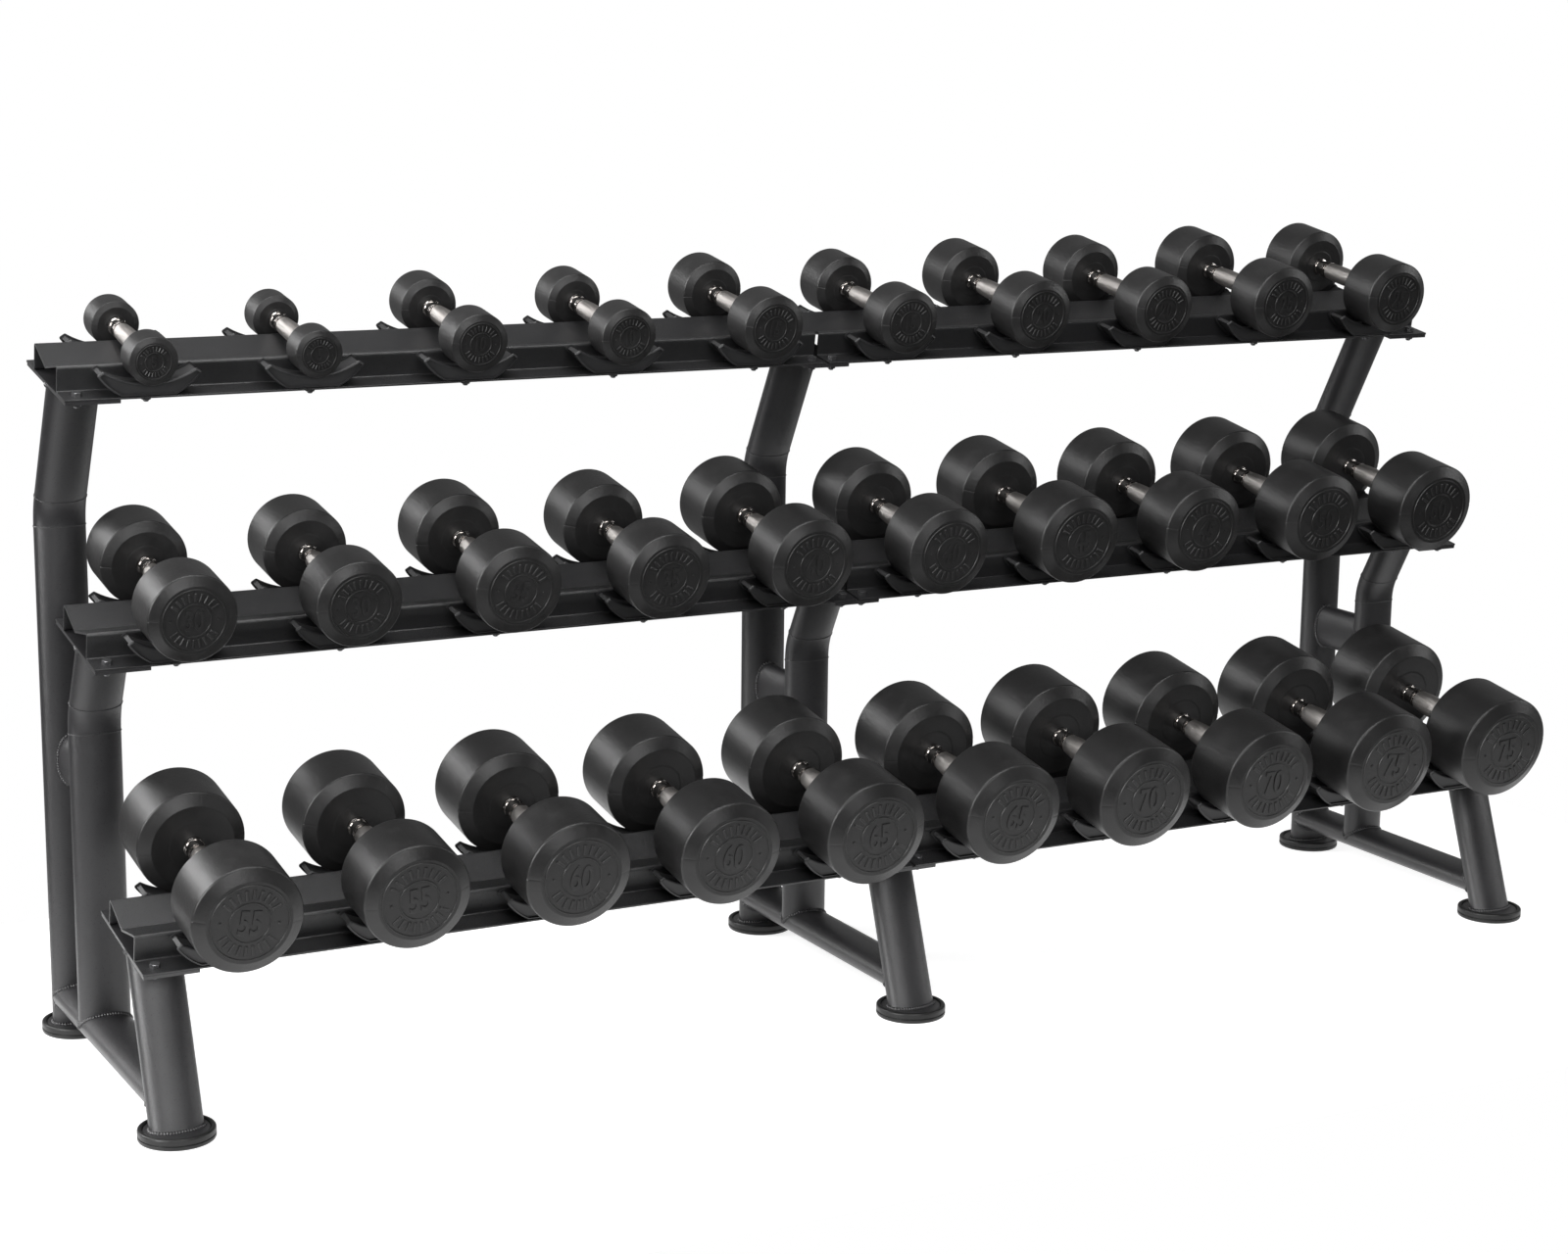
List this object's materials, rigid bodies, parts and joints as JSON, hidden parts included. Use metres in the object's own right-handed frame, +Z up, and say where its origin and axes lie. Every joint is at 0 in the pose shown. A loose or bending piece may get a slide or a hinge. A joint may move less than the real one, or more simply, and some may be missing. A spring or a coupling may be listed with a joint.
{
  "type": "dumbbell rack",
  "caption": "Three-tier saddle rack on welded oval-tube frames, holding pairs of round rubber-coated dumbbells that lift off.",
  "frame": {"origin": "on the floor, below the middle of the whole outline", "axes": "+X along the rack, +Y from its front to its back, +Z up"},
  "size_m": [2.427, 0.6728, 1.156],
  "materials": {
    "frame_coating": "satin charcoal powder coat, fine texture",
    "tray_coating": "satin charcoal powder coat, fine texture",
    "saddle_plastic": "matte black moulded plastic",
    "foot_rubber": "matte black rubber",
    "black_fasteners": "black oxide",
    "rubber_coated_heads": "satin black rubber over iron",
    "handle_chrome": "polished chrome, knurled grip"
  },
  "bodies": {
    "rack": {"rear_post_left": "frame_coating", "rear_post_centre": "frame_coating", "rear_post_right": "frame_coating", "middle_post_left": "frame_coating", "middle_post_centre": "frame_coating", "middle_post_right": "frame_coating", "front_leg_left": "frame_coating", "front_leg_centre": "frame_coating", "front_leg_right": "frame_coating", "base_tube_left": "frame_coating", "base_tube_centre": "frame_coating", "base_tube_right": "frame_coating", "spacer_tubes": "frame_coating", "mounting_plates_bottom": "frame_coating", "mounting_plates_middle": "frame_coating", "mounting_plates_top": "frame_coating", "tray_bottom_left": "tray_coating", "tray_bottom_right": "tray_coating", "tray_middle_left": "tray_coating", "tray_middle_right": "tray_coating", "tray_top_left": "tray_coating", "tray_top_right": "tray_coating", "saddles_bottom": "saddle_plastic", "saddles_middle": "saddle_plastic", "saddles_top": "saddle_plastic", "foot_discs": "frame_coating", "rubber_cups": "foot_rubber", "saddle_bolts": "black_fasteners", "tray_bolts": "black_fasteners", "nuts": "black_fasteners"},
    "dumbbell_05_left": {"dumbbell_05_left": "rubber_coated_heads"},
    "dumbbell_05_right": {"dumbbell_05_right": "rubber_coated_heads"},
    "dumbbell_10_left": {"dumbbell_10_left": "rubber_coated_heads"},
    "dumbbell_10_right": {"dumbbell_10_right": "rubber_coated_heads"},
    "dumbbell_15_left": {"dumbbell_15_left": "rubber_coated_heads"},
    "dumbbell_15_right": {"dumbbell_15_right": "rubber_coated_heads"},
    "dumbbell_20_left": {"dumbbell_20_left": "rubber_coated_heads"},
    "dumbbell_20_right": {"dumbbell_20_right": "rubber_coated_heads"},
    "dumbbell_25_left": {"dumbbell_25_left": "rubber_coated_heads"},
    "dumbbell_25_right": {"dumbbell_25_right": "rubber_coated_heads"},
    "dumbbell_30_left": {"dumbbell_30_left": "rubber_coated_heads"},
    "dumbbell_30_right": {"dumbbell_30_right": "rubber_coated_heads"},
    "dumbbell_35_left": {"dumbbell_35_left": "rubber_coated_heads"},
    "dumbbell_35_right": {"dumbbell_35_right": "rubber_coated_heads"},
    "dumbbell_40_left": {"dumbbell_40_left": "rubber_coated_heads"},
    "dumbbell_40_right": {"dumbbell_40_right": "rubber_coated_heads"},
    "dumbbell_45_left": {"dumbbell_45_left": "rubber_coated_heads"},
    "dumbbell_45_right": {"dumbbell_45_right": "rubber_coated_heads"},
    "dumbbell_50_left": {"dumbbell_50_left": "rubber_coated_heads"},
    "dumbbell_50_right": {"dumbbell_50_right": "rubber_coated_heads"},
    "dumbbell_55_left": {"dumbbell_55_left": "rubber_coated_heads"},
    "dumbbell_55_right": {"dumbbell_55_right": "rubber_coated_heads"},
    "dumbbell_60_left": {"dumbbell_60_left": "rubber_coated_heads"},
    "dumbbell_60_right": {"dumbbell_60_right": "rubber_coated_heads"},
    "dumbbell_65_left": {"dumbbell_65_left": "rubber_coated_heads"},
    "dumbbell_65_right": {"dumbbell_65_right": "rubber_coated_heads"},
    "dumbbell_70_left": {"dumbbell_70_left": "rubber_coated_heads"},
    "dumbbell_70_right": {"dumbbell_70_right": "rubber_coated_heads"},
    "dumbbell_75_left": {"dumbbell_75_left": "rubber_coated_heads"},
    "dumbbell_75_right": {"dumbbell_75_right": "rubber_coated_heads"}
  },
  "joints": [
    {"name": "lift_dumbbell_05_left", "type": "slide", "parent": "rack", "child": "dumbbell_05_left", "axis": [0, -0.1736, 0.9848], "range_m": [0, 0.25]},
    {"name": "lift_dumbbell_05_right", "type": "slide", "parent": "rack", "child": "dumbbell_05_right", "axis": [0, -0.1736, 0.9848], "range_m": [0, 0.25]},
    {"name": "lift_dumbbell_10_left", "type": "slide", "parent": "rack", "child": "dumbbell_10_left", "axis": [0, -0.1736, 0.9848], "range_m": [0, 0.25]},
    {"name": "lift_dumbbell_10_right", "type": "slide", "parent": "rack", "child": "dumbbell_10_right", "axis": [0, -0.1736, 0.9848], "range_m": [0, 0.25]},
    {"name": "lift_dumbbell_15_left", "type": "slide", "parent": "rack", "child": "dumbbell_15_left", "axis": [0, -0.1736, 0.9848], "range_m": [0, 0.25]},
    {"name": "lift_dumbbell_15_right", "type": "slide", "parent": "rack", "child": "dumbbell_15_right", "axis": [0, -0.1736, 0.9848], "range_m": [0, 0.25]},
    {"name": "lift_dumbbell_20_left", "type": "slide", "parent": "rack", "child": "dumbbell_20_left", "axis": [0, -0.1736, 0.9848], "range_m": [0, 0.25]},
    {"name": "lift_dumbbell_20_right", "type": "slide", "parent": "rack", "child": "dumbbell_20_right", "axis": [0, -0.1736, 0.9848], "range_m": [0, 0.25]},
    {"name": "lift_dumbbell_25_left", "type": "slide", "parent": "rack", "child": "dumbbell_25_left", "axis": [0, -0.1736, 0.9848], "range_m": [0, 0.25]},
    {"name": "lift_dumbbell_25_right", "type": "slide", "parent": "rack", "child": "dumbbell_25_right", "axis": [0, -0.1736, 0.9848], "range_m": [0, 0.25]},
    {"name": "lift_dumbbell_30_left", "type": "slide", "parent": "rack", "child": "dumbbell_30_left", "axis": [0, -0.1736, 0.9848], "range_m": [0, 0.08]},
    {"name": "lift_dumbbell_30_right", "type": "slide", "parent": "rack", "child": "dumbbell_30_right", "axis": [0, -0.1736, 0.9848], "range_m": [0, 0.08]},
    {"name": "lift_dumbbell_35_left", "type": "slide", "parent": "rack", "child": "dumbbell_35_left", "axis": [0, -0.1736, 0.9848], "range_m": [0, 0.08]},
    {"name": "lift_dumbbell_35_right", "type": "slide", "parent": "rack", "child": "dumbbell_35_right", "axis": [0, -0.1736, 0.9848], "range_m": [0, 0.08]},
    {"name": "lift_dumbbell_40_left", "type": "slide", "parent": "rack", "child": "dumbbell_40_left", "axis": [0, -0.1736, 0.9848], "range_m": [0, 0.08]},
    {"name": "lift_dumbbell_40_right", "type": "slide", "parent": "rack", "child": "dumbbell_40_right", "axis": [0, -0.1736, 0.9848], "range_m": [0, 0.08]},
    {"name": "lift_dumbbell_45_left", "type": "slide", "parent": "rack", "child": "dumbbell_45_left", "axis": [0, -0.1736, 0.9848], "range_m": [0, 0.08]},
    {"name": "lift_dumbbell_45_right", "type": "slide", "parent": "rack", "child": "dumbbell_45_right", "axis": [0, -0.1736, 0.9848], "range_m": [0, 0.08]},
    {"name": "lift_dumbbell_50_left", "type": "slide", "parent": "rack", "child": "dumbbell_50_left", "axis": [0, -0.1736, 0.9848], "range_m": [0, 0.08]},
    {"name": "lift_dumbbell_50_right", "type": "slide", "parent": "rack", "child": "dumbbell_50_right", "axis": [0, -0.1736, 0.9848], "range_m": [0, 0.08]},
    {"name": "lift_dumbbell_55_left", "type": "slide", "parent": "rack", "child": "dumbbell_55_left", "axis": [0, -0.1736, 0.9848], "range_m": [0, 0.08]},
    {"name": "lift_dumbbell_55_right", "type": "slide", "parent": "rack", "child": "dumbbell_55_right", "axis": [0, -0.1736, 0.9848], "range_m": [0, 0.08]},
    {"name": "lift_dumbbell_60_left", "type": "slide", "parent": "rack", "child": "dumbbell_60_left", "axis": [0, -0.1736, 0.9848], "range_m": [0, 0.08]},
    {"name": "lift_dumbbell_60_right", "type": "slide", "parent": "rack", "child": "dumbbell_60_right", "axis": [0, -0.1736, 0.9848], "range_m": [0, 0.08]},
    {"name": "lift_dumbbell_65_left", "type": "slide", "parent": "rack", "child": "dumbbell_65_left", "axis": [0, -0.1736, 0.9848], "range_m": [0, 0.08]},
    {"name": "lift_dumbbell_65_right", "type": "slide", "parent": "rack", "child": "dumbbell_65_right", "axis": [0, -0.1736, 0.9848], "range_m": [0, 0.08]},
    {"name": "lift_dumbbell_70_left", "type": "slide", "parent": "rack", "child": "dumbbell_70_left", "axis": [0, -0.1736, 0.9848], "range_m": [0, 0.08]},
    {"name": "lift_dumbbell_70_right", "type": "slide", "parent": "rack", "child": "dumbbell_70_right", "axis": [0, -0.1736, 0.9848], "range_m": [0, 0.08]},
    {"name": "lift_dumbbell_75_left", "type": "slide", "parent": "rack", "child": "dumbbell_75_left", "axis": [0, -0.1736, 0.9848], "range_m": [0, 0.08]},
    {"name": "lift_dumbbell_75_right", "type": "slide", "parent": "rack", "child": "dumbbell_75_right", "axis": [0, -0.1736, 0.9848], "range_m": [0, 0.08]}
  ]
}
